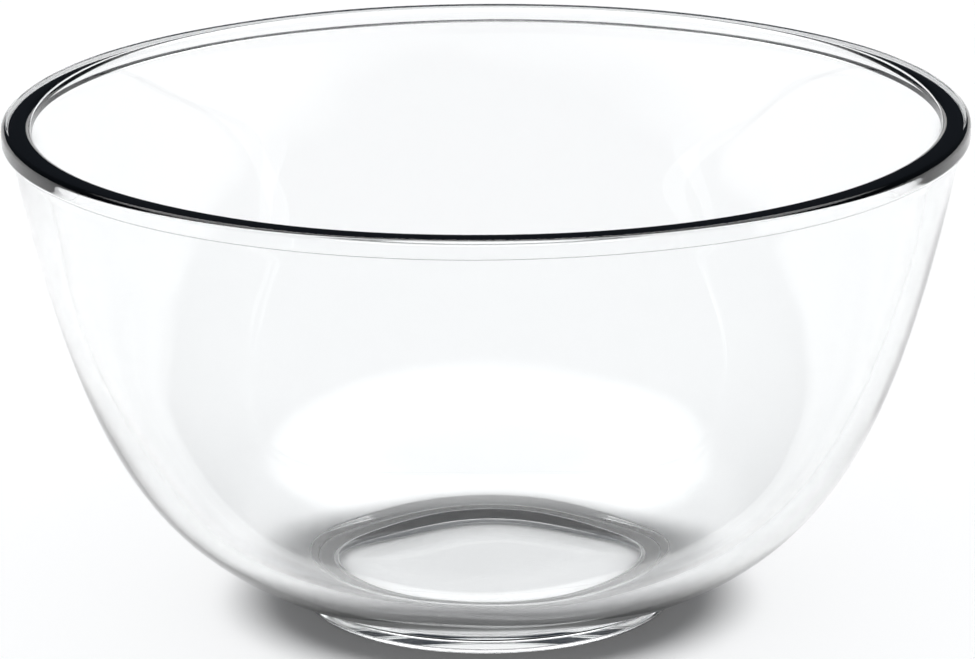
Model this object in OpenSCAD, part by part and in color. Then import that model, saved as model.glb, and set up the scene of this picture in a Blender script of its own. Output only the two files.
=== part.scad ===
// Pressed glass mixing bowl: one piece of clear glass, with a lip round its mouth and a ring foot.
// The origin is the centre of the foot, on the table. +Z points up, out of the bowl's mouth.

/* [Bowl] */
// Diameter over the lip
rim_d = 240; // [180:1:320]
// Height from the table to the top of the lip
bowl_h = 126; // [95:1:170]

/* [Side] */
// Lean of the side just below the lip, in degrees from upright
side_lean = 11; // [4:0.5:16]
// How far the steep upper side runs on, as a share of the side's height
side_run_share = 0.7; // [0.45:0.01:0.9]
// How far the shallow lower side runs on, as a share of the side's width
heel_run_share = 0.67; // [0.45:0.01:0.85]
// Diameter of the flat middle of the floor
floor_flat_d = 27; // [6:1:60]
// Height over the table at which the side's outside would meet the middle
keel_h = 1.2; // [0:0.1:4]

/* [Glass] */
// Thickness of the side just below the lip
wall_t = 6; // [4:0.1:8]
// Thickness of the floor in the middle
floor_t = 5; // [4:0.1:9]

/* [Lip] */
// How far the lip stands out past the side
lip_out = 2; // [1:0.1:4]
// Height of the lip
lip_h = 5; // [4:0.1:9]
// Radius of the lip's outer top edge
lip_top_r = 1.5; // [0.5:0.1:2]
// Radius of the lip's inner top edge
lip_inner_r = 2.2; // [0.5:0.1:2.5]
// Radius of the lip's lower edge
lip_lower_r = 1.2; // [0.3:0.1:1.5]
// Radius of the crease under the lip
lip_crease_r = 0.5; // [0.2:0.1:0.8]

/* [Foot] */
// Diameter of the foot where it meets the side
foot_d = 95.6; // [70:0.2:120]
// How far the foot draws in, all round, on its way down to the table
foot_taper = 1.1; // [0.2:0.1:2]
// Width of the ring that stands on the table
foot_ring_w = 5.2; // [3:0.1:10]
// How far the recess draws in, all round, on its way up from the ring
recess_taper = 1; // [0.2:0.1:2]
// Height of the recess over the table
recess_h = 2.6; // [1.2:0.1:4]
// Radius of the foot's edges on the table
foot_edge_r = 0.9; // [0.3:0.1:1.2]
// Radius of the corner in the recess
recess_corner_r = 0.8; // [0.3:0.1:1.2]
// Radius of the crease between the foot and the side
foot_crease_r = 0.8; // [0.3:0.1:1.5]

/* [Hidden] */

// Steps along the side's curve, along each small arc and round the bowl
curve_steps = 48;
arc_steps = 6;
round_steps = 180;
// Halvings that find where the side meets the foot
halvings = 30;
// Most of a line between two corners that their arcs may take up
arc_share = 0.95;

rim_r = rim_d / 2;
foot_r = foot_d / 2;
foot_table_r = foot_r - foot_taper;
foot_inner_r = foot_table_r - foot_ring_w;
recess_r = foot_inner_r - recess_taper;
floor_flat_r = floor_flat_d / 2;
crease_r = rim_r - lip_out;
crease_z = bowl_h - lip_h;
floor_z = recess_h + floor_t;
// Thickness, square to the side's curve, where the curve ends at the flat middle
heel_t = floor_z - keel_h;

glass_colour = [0.84, 0.91, 0.91, 0.5];

// The side's outside is one cubic curve: down from the crease under the lip at the side's lean,
// then in to the flat middle, level.
side_start = [crease_r, crease_z];
side_end = [floor_flat_r, keel_h];
side_down = [-sin(side_lean), -cos(side_lean)];
side_guide = side_start + side_run_share * (crease_z - keel_h) * side_down;
heel_guide = side_end + heel_run_share * (crease_r - floor_flat_r) * [1, 0];

function unit(v) = v / norm(v);

// Point of the side's outside at a share s of its curve
function side_point(s) =
    pow(1 - s, 3) * side_start + 3 * pow(1 - s, 2) * s * side_guide
    + 3 * (1 - s) * pow(s, 2) * heel_guide + pow(s, 3) * side_end;

// Direction of the side's curve at a share s of it, from the lip towards the middle
function side_heading(s) = unit(
    pow(1 - s, 2) * (side_guide - side_start) + 2 * (1 - s) * s * (heel_guide - side_guide)
    + pow(s, 2) * (side_end - heel_guide));

// Point of the inside, square to the curve from the outside, by a thickness that grows evenly
// from the lip to the floor
function inside_point(s) =
    side_point(s) + (wall_t + (heel_t - wall_t) * s) * [side_heading(s)[1], -side_heading(s)[0]];

// Share of the curve at which the outside has a radius r, by halving the range again and again
function share_at(r, low = 0, high = 1, left = halvings) =
    left == 0 ? (low + high) / 2
    : side_point((low + high) / 2)[0] > r ? share_at(r, (low + high) / 2, high, left - 1)
    : share_at(r, low, (low + high) / 2, left - 1);

// Arc of radius r that rounds the corner at b between the lines to a and to c
function corner(a, b, c, r) =
    let (to_a = unit(a - b))
    let (to_c = unit(c - b))
    let (half = acos(to_a * to_c) / 2)
    let (centre = b + unit(to_a + to_c) * r / sin(half))
    let (first = b + to_a * r / tan(half) - centre)
    let (last = b + to_c * r / tan(half) - centre)
    let (sweep = 180 - 2 * half)
    let (turn = sign(first[0] * last[1] - first[1] * last[0]))
    let (start = atan2(first[1], first[0]))
    [for (i = [0 : arc_steps])
        let (angle = start + turn * sweep * i / arc_steps)
        centre + r * [cos(angle), sin(angle)]];

// Length that this arc takes up on each of the two lines
function arc_reach(a, b, c, r) = r / tan(acos(unit(a - b) * unit(c - b)) / 2);

// Outline through the points, each rounded by its own radius. Where two arcs need more than the line
// between them has, both get smaller until they share it.
function rounded(points, radii) =
    let (last = len(points) - 1)
    let (reach = [for (i = [0 : last])
        radii[i] == 0 ? 0 : arc_reach(points[i - 1], points[i], points[i + 1], radii[i])])
    let (fit = [for (i = [0 : last - 1])
        arc_share * norm(points[i + 1] - points[i]) / (reach[i] + reach[i + 1])])
    [for (i = [0 : last]) each
        radii[i] == 0 ? [points[i]]
        : corner(points[i - 1], points[i], points[i + 1], radii[i] * min(1, fit[i - 1], fit[i]))];

// The side shows outside from the lip to the foot, at equal shares of that stretch
foot_share = share_at(foot_r);
foot_top = side_point(foot_share);
outer_side = [for (i = [curve_steps - 1 : -1 : 1]) side_point(foot_share * i / curve_steps)];
inner_side = [for (i = [0 : curve_steps]) inside_point(i / curve_steps)];

// Sharp corners of the section, before they are rounded
recess_corner = [recess_r, recess_h];
foot_inner = [foot_inner_r, 0];
foot_outer = [foot_table_r, 0];
lip_lower = [rim_r, crease_z];
lip_top = [rim_r, bowl_h];
// The inside runs on from the side to the top of the lip at the side's lean
mouth_rise = bowl_h - inner_side[0][1];
lip_inner = [inner_side[0][0] + mouth_rise * tan(side_lean), bowl_h];

// Points of the half section in order, from the middle of the underside round to the middle of the
// floor, with a radius for each corner. A point with no radius stays as it is.
section_points = concat(
    [[0, recess_h], recess_corner, foot_inner, foot_outer, foot_top],
    outer_side,
    [side_start, lip_lower, lip_top, lip_inner],
    inner_side,
    [[0, floor_z]]);
section_radii = concat(
    [0, recess_corner_r, foot_edge_r, foot_edge_r, foot_crease_r],
    [for (point = outer_side) 0],
    [lip_crease_r, lip_lower_r, lip_top_r, lip_inner_r],
    [for (point = inner_side) 0],
    [0]);

module bowl() {
    color(glass_colour)
        rotate_extrude($fn = round_steps)
            polygon(rounded(section_points, section_radii));
}

bowl();
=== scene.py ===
"""Pressed glass mixing bowl in a plain white studio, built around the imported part.

Laid out as a Blender add-on and run as a script. Lengths are metres, in the part's own frame:
the origin is the centre of the foot, on the table, and +Z points up out of the bowl's mouth.
"""

import math

import bpy
import numpy as np
from mathutils import Matrix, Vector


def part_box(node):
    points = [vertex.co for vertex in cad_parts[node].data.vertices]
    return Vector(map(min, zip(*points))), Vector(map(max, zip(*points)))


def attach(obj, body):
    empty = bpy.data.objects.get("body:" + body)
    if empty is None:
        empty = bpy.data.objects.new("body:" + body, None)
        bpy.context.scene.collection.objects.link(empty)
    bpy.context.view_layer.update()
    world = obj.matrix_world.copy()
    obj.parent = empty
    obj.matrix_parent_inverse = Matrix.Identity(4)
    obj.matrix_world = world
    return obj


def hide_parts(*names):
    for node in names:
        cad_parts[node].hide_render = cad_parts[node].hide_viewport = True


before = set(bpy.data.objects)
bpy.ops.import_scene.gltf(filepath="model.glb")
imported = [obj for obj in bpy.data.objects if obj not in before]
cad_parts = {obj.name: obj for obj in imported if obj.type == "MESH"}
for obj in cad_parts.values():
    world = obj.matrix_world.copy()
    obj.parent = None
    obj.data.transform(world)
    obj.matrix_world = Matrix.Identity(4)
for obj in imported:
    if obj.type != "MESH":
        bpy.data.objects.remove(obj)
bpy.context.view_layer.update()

bl_info = {
    "name": "Glass Mixing Bowl",
    "version": (1, 0, 0),
    "blender": (4, 5, 0),
    "location": "3D View > Sidebar > Bowl",
    "description": "Makes a pressed glass mixing bowl and the white studio that it stands in",
    "category": "Add Mesh",
}

MM = 0.001
BOWL_LOW, BOWL_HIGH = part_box("bowl")

# The photograph's width in pixels, which sets the lens for a 36 mm sensor
PHOTO_WIDTH_PX = 975
SENSOR_WIDTH_MM = 36

# Steps along each stretch of the section, and round the bowl's axis
RADIUS_STEPS = 2000
OUTER_STEPS = 61
INNER_STEPS = 65
UNDERSIDE_STEPS = 16
FLOOR_STEPS = 8
ARC_STEPS = 10
CREASE_STEPS = 6
LIP_INNER_STEPS = 14
TURN_STEPS = 400
STAGE_STEPS = 96

# The slow waves: crests round the axis, lengths along the section, the seed of their phases, and
# how many wave heights the glass stands back, to make room for the crests
WAVES_AROUND = (2, 3, 5, 7, 9)
WAVE_LENGTHS = (45 * MM, 70 * MM, 110 * MM)
WAVE_SEED = 7
WAVE_ROOM = 2

# Height at which the wear on the foot's ring starts to fade, and the height at which it ends, as a
# share of the edge's radius
WORN_UP_TO = 0.1 * MM
WORN_EDGE_SHARE = 0.4


def length(name, description, default_mm):
    """A length property in metres, its default written in millimetres."""
    return bpy.props.FloatProperty(
        name=name, description=description, default=default_mm * MM, unit="LENGTH", precision=4)


def angle(name, description, degrees):
    """An angle property, its default written in degrees."""
    return bpy.props.FloatProperty(
        name=name, description=description, default=math.radians(degrees), subtype="ANGLE")


def share(name, description, default, top=1.0):
    """A share or strength with no unit."""
    return bpy.props.FloatProperty(
        name=name, description=description, default=default, min=0, max=top)


def colour(name, description, default):
    """A colour property."""
    return bpy.props.FloatVectorProperty(
        name=name, description=description, default=default, subtype="COLOR", min=0, max=1)


class BowlSizes(bpy.types.PropertyGroup):
    """Sizes of the bowl's section, as the part's own source has them."""
    rim_d: length("Rim", "Diameter over the lip", (BOWL_HIGH.x - BOWL_LOW.x) / MM)
    bowl_h: length("Height", "Height from the table to the top of the lip", BOWL_HIGH.z / MM)
    side_lean: angle("Side lean", "Lean of the side just below the lip, from upright", 11)
    side_run: share("Side run", "How far the steep upper side runs on, of the side's height", 0.7)
    heel_run: share("Heel run", "How far the shallow lower side runs on, of its width", 0.67)
    floor_flat_d: length("Flat floor", "Diameter of the flat middle of the floor", 27)
    keel_h: length("Keel", "Height at which the side's outside would meet the middle", 1.2)
    wall_t: length("Wall", "Thickness of the side just below the lip", 6)
    floor_t: length("Floor", "Thickness of the floor in the middle", 5)
    lip_out: length("Lip overhang", "How far the lip stands out past the side", 2)
    lip_h: length("Lip height", "Height of the lip", 5)
    lip_top_r: length("Lip outer edge", "Radius of the lip's outer top edge", 1.5)
    lip_inner_r: length("Lip inner edge", "Radius of the lip's inner top edge", 2.2)
    lip_lower_r: length("Lip lower edge", "Radius of the lip's lower edge", 1.2)
    lip_crease_r: length("Lip crease", "Radius of the crease under the lip", 0.5)
    foot_d: length("Foot", "Diameter of the foot where it meets the side", 95.6)
    foot_taper: length("Foot taper", "How far the foot draws in on its way down to the table", 1.1)
    foot_ring_w: length("Foot ring", "Width of the ring that stands on the table", 5.2)
    recess_taper: length("Recess taper", "How far the recess draws in on its way up", 1)
    recess_h: length("Recess height", "Height of the recess over the table", 2.6)
    foot_edge_r: length("Foot edge", "Radius of the foot's edges on the table", 0.9)
    recess_corner_r: length("Recess corner", "Radius of the corner in the recess", 0.8)
    foot_crease_r: length("Foot crease", "Radius of the crease between foot and side", 0.8)
    wave: length("Waves", "Height of the slow waves that pressing leaves in the glass", 0.06)
    wave_from: length("Waves from", "Radius inside which the floor and foot are true", 46)
    wave_to: length("Waves to", "Radius at which the waves have their full height", 75)


class BowlGlass(bpy.types.PropertyGroup):
    """Finish of the clear glass."""
    tint: colour("Tint", "Colour of the glass at its surface", (0.99, 0.995, 0.995))
    depth_tint: colour("Depth tint", "Colour that light keeps on its way through the glass",
                       (0.82, 0.87, 0.88))
    depth: bpy.props.FloatProperty(
        name="Depth density", description="How fast the glass takes up light, per metre",
        default=3.0, min=0, max=100)
    bend: share("Index of refraction", "How strongly the glass bends light", 1.47, 2.0)
    polish_scale: bpy.props.FloatProperty(
        name="Polish scale", description="Fine waves of the fire polish, per metre",
        default=45, min=0, max=1000)
    polish_wave: length("Polish waves", "Height of the fine waves of the fire polish", 0.01)
    foot_wear: share("Foot wear", "Roughness of the ring that rubs on the table", 0.3)
    side_pass: share("Side passes", "Share of lamps' light through each face of the side", 0.95)
    heel_pass: share("Heel passes", "Share of lamps' light through each face of heel and foot", 0.1)
    heel_top: length("Heel top", "Height at which the heel gives way to the side", 10.5)
    middle_r: length("Clear middle", "Radius of the base's middle, which lets all light through", 39.5)
    pass_soft: length("Passing softness", "Half of the width over which those shares change", 1)


class BowlStudio(bpy.types.PropertyGroup):
    """The plain white studio: camera, floor, room and soft light."""
    distance: length("Camera distance", "From the bowl's axis to the camera, along the floor", 1300)
    height: length("Camera height", "Height of the camera over the table", 454.25)
    pitch: angle("Camera pitch", "How far the camera looks down", 16.484)
    roll: angle("Camera roll", "How far the photograph is turned", 0.43)
    lens_px: bpy.props.FloatProperty(
        name="Lens", description="Focal length in pixels of the photograph",
        default=5402.9, min=100, max=20000)
    floor_r: length("Floor", "Radius of the floor", 6000)
    floor_colour: colour("Floor colour", "Colour of the pale floor", (0.95, 0.95, 0.95))
    backdrop_colour: colour("Backdrop", "Colour of the backdrop, up to its top edge", (1, 1, 1))
    backdrop_top: angle("Backdrop top", "Elevation of the backdrop's top edge", 9)
    room_colour: colour("Room", "Colour of the dark room over the backdrop", (0.03, 0.036, 0.046))
    light_strength: share("Light strength", "Strength of the soft light overhead", 2.62, 20)
    light_middle: share("Light middle", "How bright the light's middle is, as a share of its rim", 0.5)
    light_tilt: angle("Light tilt", "How far the light leans back from overhead", 10)
    light_in: angle("Light inside", "Angle from the light's axis out to the edge of its middle", 22)
    light_out: angle("Light edge", "Angle from the light's axis out to its edge", 42)
    light_soft: angle("Light softness", "Angle over which the light's edges fade", 10)
    top_soft: angle("Backdrop softness", "Angle over which the backdrop's top edge fades", 2.5)


# Shape of the bowl


def unit(v):
    """v / |v| along the last axis."""
    return v / np.linalg.norm(v, axis=-1, keepdims=True)


def side_curve(s, start, guide_a, guide_b, end):
    """Cubic curve and its unit heading at shares s:
    p = (1-s)^3 start + 3(1-s)^2 s a + 3(1-s)s^2 b + s^3 end."""
    s = s[:, None]
    p = (1 - s)**3 * start + 3 * (1 - s)**2 * s * guide_a + 3 * (1 - s) * s**2 * guide_b + s**3 * end
    heading = ((1 - s)**2 * (guide_a - start) + 2 * (1 - s) * s * (guide_b - guide_a)
               + s**2 * (end - guide_b))
    return p, unit(heading)


def corner(a, b, c, radius, steps=ARC_STEPS):
    """Arc that rounds the corner at b between the lines to a and c:
    centre = b + bisector * r / sin(half angle), swept from one tangent point to the other."""
    to_a, to_c = unit(a - b), unit(c - b)
    half = math.acos(float(to_a @ to_c)) / 2
    centre = b + unit(to_a + to_c) * radius / math.sin(half)
    first = b + to_a * radius / math.tan(half) - centre
    last = b + to_c * radius / math.tan(half) - centre
    turn = math.copysign(math.pi - 2 * half, first[0] * last[1] - first[1] * last[0])
    at = math.atan2(first[1], first[0]) + turn * np.linspace(0, 1, steps + 1)
    return centre + radius * np.stack([np.cos(at), np.sin(at)], -1)


def straight(a, b, steps):
    """Points a + (b - a) * i / steps, both ends left out."""
    i = np.arange(1, steps)[:, None]
    return a + (b - a) * i / steps


def section(sizes):
    """Half section of the bowl as (radius, height) points, from the middle of its underside, up
    the outside, over the lip and down the inside to the middle of its floor. The inside is the
    outside's cubic curve moved square to itself by a thickness that grows evenly with s."""
    lean = math.sin(sizes.side_lean), math.cos(sizes.side_lean)
    crease = np.array([sizes.rim_d / 2 - sizes.lip_out, sizes.bowl_h - sizes.lip_h])
    end = np.array([sizes.floor_flat_d / 2, sizes.keel_h])
    drop, inward = crease[1] - end[1], crease[0] - end[0]
    curve = (crease, crease - sizes.side_run * drop * np.array(lean),
             end + np.array([sizes.heel_run * inward, 0]), end)
    floor_z = sizes.recess_h + sizes.floor_t

    shares = np.linspace(0, 1, RADIUS_STEPS + 1)
    foot_share = np.interp(-sizes.foot_d / 2, -side_curve(shares, *curve)[0][:, 0], shares)
    outer = side_curve(foot_share * np.linspace(1, 0, OUTER_STEPS + 1)[1:-1], *curve)[0]
    foot_top = side_curve(np.array([foot_share]), *curve)[0][0]
    s = np.linspace(0, 1, INNER_STEPS + 1)
    p, heading = side_curve(s, *curve)
    thickness = (sizes.wall_t + (floor_z - sizes.keel_h - sizes.wall_t) * s)[:, None]
    inner = p + thickness * np.stack([heading[:, 1], -heading[:, 0]], -1)

    middle_low, middle_high = np.array([0, sizes.recess_h]), np.array([0, floor_z])
    foot_out = np.array([sizes.foot_d / 2 - sizes.foot_taper, 0])
    foot_in = foot_out - np.array([sizes.foot_ring_w, 0])
    recess = foot_in + np.array([-sizes.recess_taper, sizes.recess_h])
    lip_low = np.array([sizes.rim_d / 2, crease[1]])
    lip_top = np.array([sizes.rim_d / 2, sizes.bowl_h])
    rise = sizes.bowl_h - inner[0][1]
    lip_in = np.array([inner[0][0] + rise * math.tan(sizes.side_lean), sizes.bowl_h])
    recess_arc = corner(middle_low, recess, foot_in, sizes.recess_corner_r)
    return np.concatenate([
        [middle_low], straight(middle_low, recess_arc[0], UNDERSIDE_STEPS), recess_arc,
        corner(recess, foot_in, foot_out, sizes.foot_edge_r),
        corner(foot_in, foot_out, foot_top, sizes.foot_edge_r),
        corner(foot_out, foot_top, outer[0], sizes.foot_crease_r), outer,
        corner(outer[-2], crease, lip_low, sizes.lip_crease_r, CREASE_STEPS),
        corner(crease, lip_low, lip_top, sizes.lip_lower_r),
        corner(lip_low, lip_top, lip_in, sizes.lip_top_r),
        corner(lip_top, lip_in, inner[0], sizes.lip_inner_r, LIP_INNER_STEPS), inner,
        straight(inner[-1], middle_high, FLOOR_STEPS), [middle_high]])


def waves(run, turn, height):
    """Slow waves on a surface of revolution, as an array over run (distance along the section) and
    turn (angle round the axis): the sum over m and l of cos(m turn +- 2 pi run / l + phase), scaled
    to a height. Each m is a whole number, so that the waves close."""
    rng = np.random.default_rng(WAVE_SEED)
    total = np.zeros((len(run), len(turn)))
    for crests in WAVES_AROUND:
        for wavelength in WAVE_LENGTHS:
            phase = rng.uniform(0, 2 * math.pi)
            way = rng.choice([-1, 1])
            along = way * 2 * math.pi * run[:, None] / wavelength
            total += np.cos(crests * turn[None, :] + along + phase)
    return height * total / math.sqrt(len(WAVES_AROUND) * len(WAVE_LENGTHS))


def revolve(profile, offset, turn):
    """Points ((r + d nr) sin t, -(r + d nr) cos t, z + d nz) of a section turned round the axis,
    with d the offset along the section's own normal n. Its ends are poles on the axis."""
    heading = unit(np.gradient(profile, axis=0))
    normal = np.stack([heading[:, 1], -heading[:, 0]], -1)
    r = profile[:, 0, None] + offset * normal[:, 0, None]
    height = profile[:, 1, None] + offset * normal[:, 1, None]
    grid = np.stack([r * np.sin(turn), -r * np.cos(turn), height], -1)[1:-1]
    rows, columns = grid.shape[:2]
    points = np.concatenate([grid.reshape(-1, 3), [[0, 0, profile[0, 1]], [0, 0, profile[-1, 1]]]])
    index = np.arange(rows * columns).reshape(rows, columns)
    ahead = np.roll(index, -1, axis=1)
    quads = np.stack([index[:-1], ahead[:-1], ahead[1:], index[1:]], -1).reshape(-1, 4)
    low, high = rows * columns, rows * columns + 1
    first = np.stack([np.full(columns, low), ahead[0], index[0]], -1)
    last = np.stack([index[-1], ahead[-1], np.full(columns, high)], -1)
    return points, quads, np.concatenate([first, last])


def new_piece(name, points, quads, triangles, material):
    """A smooth mesh object at the origin, filled by whole arrays."""
    mesh = bpy.data.meshes.new(name)
    corners = np.concatenate([quads.ravel(), triangles.ravel()]).astype(np.int32)
    sizes = np.concatenate([np.full(len(quads), 4), np.full(len(triangles), 3)])
    starts = np.concatenate([[0], np.cumsum(sizes)[:-1]]).astype(np.int32)
    mesh.vertices.add(len(points))
    mesh.vertices.foreach_set("co", points.astype(np.float32).ravel())
    mesh.loops.add(len(corners))
    mesh.loops.foreach_set("vertex_index", corners)
    mesh.polygons.add(len(sizes))
    mesh.polygons.foreach_set("loop_start", starts)
    mesh.update(calc_edges=True)
    mesh.shade_smooth()
    mesh.validate()
    mesh.materials.append(material)
    piece = bpy.data.objects.new(name, mesh)
    bpy.context.scene.collection.objects.link(piece)
    return piece


# Finishes


def new_material(name):
    """An empty node material: its tree and its output node."""
    material = bpy.data.materials.new(name)
    material.use_nodes = True
    nodes = material.node_tree.nodes
    nodes.clear()
    return material, nodes, material.node_tree.links, nodes.new("ShaderNodeOutputMaterial")


def math_node(nodes, links, operation, *inputs):
    """A Math node, fed by numbers and sockets in order. Returns its output."""
    node = nodes.new("ShaderNodeMath")
    node.operation = operation
    for slot, value in zip(node.inputs, inputs):
        if isinstance(value, (int, float)):
            slot.default_value = value
        else:
            links.new(value, slot)
    return node.outputs["Value"]


def soft_step(nodes, links, value, edge, softness):
    """0 below an edge and 1 above it, with a smooth rise over the softness."""
    step = nodes.new("ShaderNodeMapRange")
    step.interpolation_type = "SMOOTHSTEP"
    step.inputs["From Min"].default_value = edge - softness / 2
    step.inputs["From Max"].default_value = edge + softness / 2
    links.new(value, step.inputs["Value"])
    return step.outputs["Result"]


def lamps_pass(nodes, links, glass, g, split):
    """Lets lamps light the floor straight through the glass: fully through the level middle of the
    base, hardly through the foot and the heel, which turn the light away, and mostly through the
    side. The camera meets plain glass."""
    softness = 2 * g.pass_soft
    over_heel = soft_step(nodes, links, split.outputs["Z"], g.heel_top, softness)
    side = math_node(
        nodes, links, "MULTIPLY_ADD", over_heel, g.side_pass - g.heel_pass, g.heel_pass)
    across = math_node(nodes, links, "MULTIPLY", split.outputs["X"], split.outputs["X"])
    along = math_node(nodes, links, "MULTIPLY", split.outputs["Y"], split.outputs["Y"])
    radius = math_node(nodes, links, "SQRT", math_node(nodes, links, "ADD", across, along))
    outside = soft_step(nodes, links, radius, g.middle_r, softness)
    side_keeps = math_node(nodes, links, "SUBTRACT", 1, side)
    kept = math_node(nodes, links, "MULTIPLY", outside, side_keeps)
    passed = math_node(nodes, links, "SUBTRACT", 1, kept)
    through = nodes.new("ShaderNodeBsdfTransparent")
    links.new(passed, through.inputs["Color"])
    path = nodes.new("ShaderNodeLightPath")
    for ray in ("Is Shadow Ray", "Is Diffuse Ray"):
        mix = nodes.new("ShaderNodeMixShader")
        links.new(path.outputs[ray], mix.inputs["Fac"])
        links.new(glass, mix.inputs[1])
        links.new(through.outputs["BSDF"], mix.inputs[2])
        glass = mix.outputs["Shader"]
    return glass


def clear_glass(g, sizes):
    """Clear pressed glass: smooth, faintly tinted in its depth, with the fine waves of a fire
    polish, and dulled where its foot rubs on the table."""
    material, nodes, links, out = new_material("clear_glass")
    shader = nodes.new("ShaderNodeBsdfPrincipled")
    shader.inputs["Base Color"].default_value = (*g.tint, 1)
    shader.inputs["Transmission Weight"].default_value = 1
    shader.inputs["IOR"].default_value = g.bend
    place = nodes.new("ShaderNodeTexCoord")
    polish = nodes.new("ShaderNodeTexNoise")
    polish.inputs["Scale"].default_value = g.polish_scale
    polish.inputs["Detail"].default_value = 1
    bump = nodes.new("ShaderNodeBump")
    bump.inputs["Distance"].default_value = g.polish_wave
    bump.inputs["Strength"].default_value = 1
    links.new(place.outputs["Object"], polish.inputs["Vector"])
    links.new(polish.outputs["Fac"], bump.inputs["Height"])
    links.new(bump.outputs["Normal"], shader.inputs["Normal"])

    split = nodes.new("ShaderNodeSeparateXYZ")
    worn = nodes.new("ShaderNodeMapRange")
    worn.inputs["From Min"].default_value = WORN_UP_TO
    worn.inputs["From Max"].default_value = WORN_EDGE_SHARE * sizes.foot_edge_r
    worn.inputs["To Min"].default_value = g.foot_wear
    worn.inputs["To Max"].default_value = 0
    links.new(place.outputs["Object"], split.inputs["Vector"])
    links.new(lamps_pass(nodes, links, shader.outputs["BSDF"], g, split), out.inputs["Surface"])
    links.new(split.outputs["Z"], worn.inputs["Value"])
    links.new(worn.outputs["Result"], shader.inputs["Roughness"])

    depth = nodes.new("ShaderNodeVolumeAbsorption")
    depth.inputs["Color"].default_value = (*g.depth_tint, 1)
    depth.inputs["Density"].default_value = g.depth
    links.new(depth.outputs["Volume"], out.inputs["Volume"])
    return material


def pale_floor(studio):
    """Matt pale floor. To the camera, and in glass, it shows as white where nothing shades it."""
    material, nodes, links, out = new_material("pale_floor")
    matt = nodes.new("ShaderNodeBsdfDiffuse")
    matt.inputs["Color"].default_value = (*studio.floor_colour, 1)
    glow = nodes.new("ShaderNodeEmission")
    total = nodes.new("ShaderNodeAddShader")
    path = nodes.new("ShaderNodeLightPath")
    seen = math_node(
        nodes, links, "MAXIMUM", path.outputs["Is Camera Ray"], path.outputs["Is Glossy Ray"])
    seen = math_node(nodes, links, "MAXIMUM", seen, path.outputs["Is Transmission Ray"])
    strength = math_node(nodes, links, "MULTIPLY", seen, 1 - studio.floor_colour[0])
    links.new(strength, glow.inputs["Strength"])
    links.new(matt.outputs["BSDF"], total.inputs[0])
    links.new(glow.outputs["Emission"], total.inputs[1])
    links.new(total.outputs["Shader"], out.inputs["Surface"])
    return material


def soft_room(studio):
    """The room: a pale backdrop all round up to an elevation, a dark room over it, and one wide soft
    light overhead that leans back a little and is dimmer in its middle."""
    world = bpy.data.worlds.new("room")
    world.use_nodes = True
    nodes, links = world.node_tree.nodes, world.node_tree.links
    back = nodes["Background"]
    way = nodes.new("ShaderNodeTexCoord").outputs["Generated"]
    split = nodes.new("ShaderNodeSeparateXYZ")
    links.new(way, split.inputs["Vector"])
    elevation = math_node(nodes, links, "ARCSINE", split.outputs["Z"])
    over = soft_step(nodes, links, elevation, studio.backdrop_top, studio.top_soft)

    lean = nodes.new("ShaderNodeVectorMath")
    lean.operation = "DOT_PRODUCT"
    lean.inputs[1].default_value = (0, math.sin(studio.light_tilt), math.cos(studio.light_tilt))
    links.new(way, lean.inputs[0])
    off_axis = math_node(nodes, links, "ARCCOSINE", lean.outputs["Value"])
    outside = soft_step(nodes, links, off_axis, studio.light_out, studio.light_soft)
    inside = math_node(nodes, links, "SUBTRACT", 1, outside)
    rim = soft_step(nodes, links, off_axis, studio.light_in, studio.light_soft)
    middle = studio.light_middle
    bright = math_node(nodes, links, "MULTIPLY_ADD", rim, 1 - middle, middle)
    lit = math_node(nodes, links, "MULTIPLY", bright, inside)
    glow = math_node(nodes, links, "MULTIPLY", lit, studio.light_strength)

    wall = nodes.new("ShaderNodeMix")
    wall.data_type = "RGBA"
    wall.inputs[6].default_value = (*studio.backdrop_colour, 1)
    wall.inputs[7].default_value = (*studio.room_colour, 1)
    links.new(over, wall.inputs[0])
    total = nodes.new("ShaderNodeVectorMath")
    total.operation = "ADD"
    links.new(wall.outputs[2], total.inputs[0])
    links.new(glow, total.inputs[1])
    links.new(total.outputs["Vector"], back.inputs["Color"])
    return world


# Operators


class MakeBowl(bpy.types.Operator):
    """Make the glass bowl as one smooth surface of revolution"""
    bl_idname = "mesh.mixing_bowl_glass"
    bl_label = "Glass Bowl"

    def execute(self, context):
        sizes = context.scene.bowl_sizes
        profile = section(sizes)
        turn = np.linspace(0, 2 * math.pi, TURN_STEPS, endpoint=False)
        step = np.linalg.norm(np.diff(profile, axis=0), axis=1)
        run = np.concatenate([[0], np.cumsum(step)])
        # The plunger and the mould hold the floor and the foot true
        fade = np.interp(profile[:, 0], (sizes.wave_from, sizes.wave_to), (0, 1))
        offset = waves(run, turn, sizes.wave) - WAVE_ROOM * sizes.wave
        points, quads, triangles = revolve(profile, offset * fade[:, None], turn)
        material = clear_glass(context.scene.bowl_glass, sizes)
        piece = new_piece("glass_bowl", points, quads, triangles, material)
        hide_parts("bowl")
        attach(piece, "root")
        return {"FINISHED"}


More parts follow.
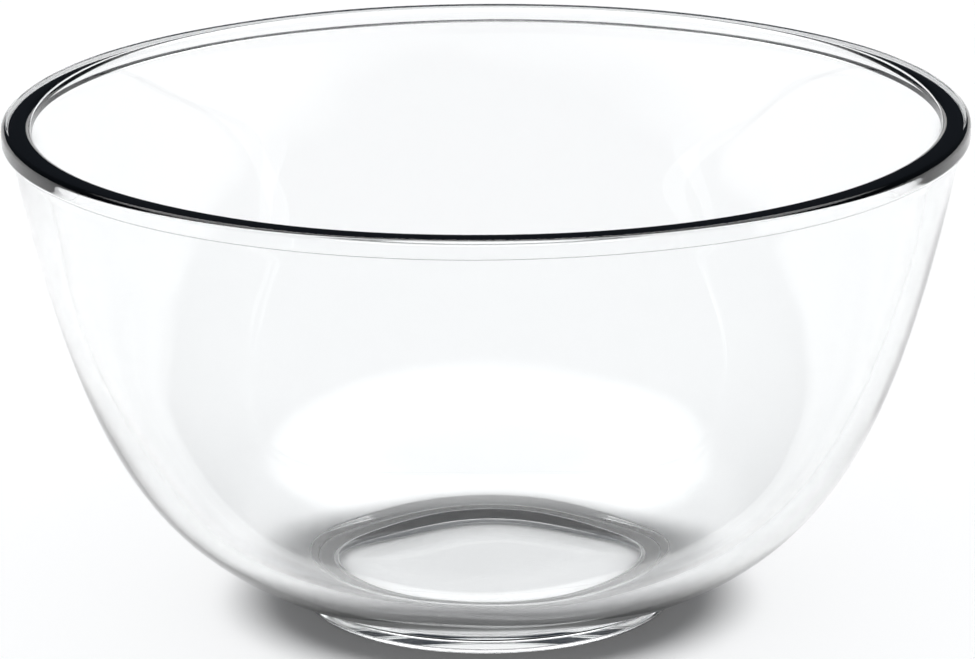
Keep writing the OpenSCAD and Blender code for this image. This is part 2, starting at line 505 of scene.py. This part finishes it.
class MakeStudio(bpy.types.Operator):
    """Make the floor, the room's light and the camera"""
    bl_idname = "scene.mixing_bowl_studio"
    bl_label = "White Studio"

    def execute(self, context):
        scene, studio = context.scene, context.scene.bowl_studio
        turn = np.linspace(0, 2 * math.pi, STAGE_STEPS, endpoint=False)
        ring = studio.floor_r * np.stack([np.cos(turn), np.sin(turn), 0 * turn], -1)
        index = np.arange(len(turn))
        fan = np.stack([np.full(len(turn), len(turn)), index, np.roll(index, -1)], -1)
        points = np.concatenate([ring, [[0, 0, 0]]])
        floor = new_piece("floor", points, np.zeros((0, 4), int), fan, pale_floor(studio))

        scene.world = soft_room(studio)

        camera = bpy.data.objects.new("camera", bpy.data.cameras.new("camera"))
        camera.data.sensor_width = SENSOR_WIDTH_MM
        camera.data.sensor_fit = "HORIZONTAL"
        camera.data.lens = studio.lens_px / PHOTO_WIDTH_PX * SENSOR_WIDTH_MM
        camera.matrix_world = (
            Matrix.Translation((0, -studio.distance, studio.height))
            @ Matrix.Rotation(math.pi / 2 - studio.pitch, 4, "X")
            @ Matrix.Rotation(-studio.roll, 4, "Z"))
        scene.collection.objects.link(camera)
        scene.camera = camera
        scene.view_settings.view_transform = "Standard"
        return {"FINISHED"}


class BowlPanel(bpy.types.Panel):
    """Sizes, glass and studio, with the buttons that make them"""
    bl_idname = "VIEW3D_PT_mixing_bowl"
    bl_label = "Glass Mixing Bowl"
    bl_space_type = "VIEW_3D"
    bl_region_type = "UI"
    bl_category = "Bowl"

    def draw(self, context):
        scene = context.scene
        for group, operator in (
                (scene.bowl_sizes, None), (scene.bowl_glass, MakeBowl.bl_idname),
                (scene.bowl_studio, MakeStudio.bl_idname)):
            for name in group.__annotations__:
                self.layout.prop(group, name)
            if operator:
                self.layout.operator(operator)


GROUPS = {"bowl_sizes": BowlSizes, "bowl_glass": BowlGlass, "bowl_studio": BowlStudio}
CLASSES = (*GROUPS.values(), MakeBowl, MakeStudio, BowlPanel)


def register():
    for cls in CLASSES:
        bpy.utils.register_class(cls)
    for name, group in GROUPS.items():
        setattr(bpy.types.Scene, name, bpy.props.PointerProperty(type=group))


def unregister():
    for name in GROUPS:
        delattr(bpy.types.Scene, name)
    for cls in reversed(CLASSES):
        bpy.utils.unregister_class(cls)


def main():
    register()
    bpy.ops.mesh.mixing_bowl_glass()
    bpy.ops.scene.mixing_bowl_studio()


if __name__ == "__main__":
    main()
